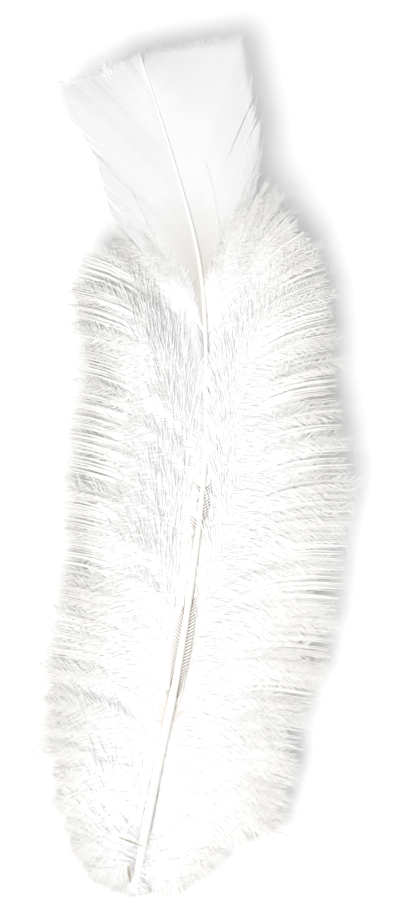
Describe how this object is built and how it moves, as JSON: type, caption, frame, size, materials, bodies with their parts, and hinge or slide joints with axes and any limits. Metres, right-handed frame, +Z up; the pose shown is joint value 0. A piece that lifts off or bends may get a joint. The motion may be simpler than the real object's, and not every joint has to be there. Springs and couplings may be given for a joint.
{
  "type": "white downy body feather",
  "caption": "Loose white body feather lying flat: ivory quill and shaft, firm squared vane at the tip, soft down along both sides and round the base.",
  "frame": {"origin": "on the surface that the feather lies on, below the middle of its box", "axes": "+Y along the feather from the cut quill to the squared tip, +Z up from the surface, +X to the right seen from above"},
  "size_m": [0.0614, 0.1502, 0.0105],
  "materials": {
    "ivory_shaft": "satin ivory horn, slightly clear at the quill",
    "firm_vane": "matt white web of fine slanting barbs, a little sheen",
    "soft_down": "matt white down, faintly warm grey at the outer ends"
  },
  "bodies": {
    "root": {"shaft": "ivory_shaft", "vane_left": "firm_vane", "vane_right": "firm_vane", "down_left": "soft_down", "down_right": "soft_down"}
  },
  "joints": []
}
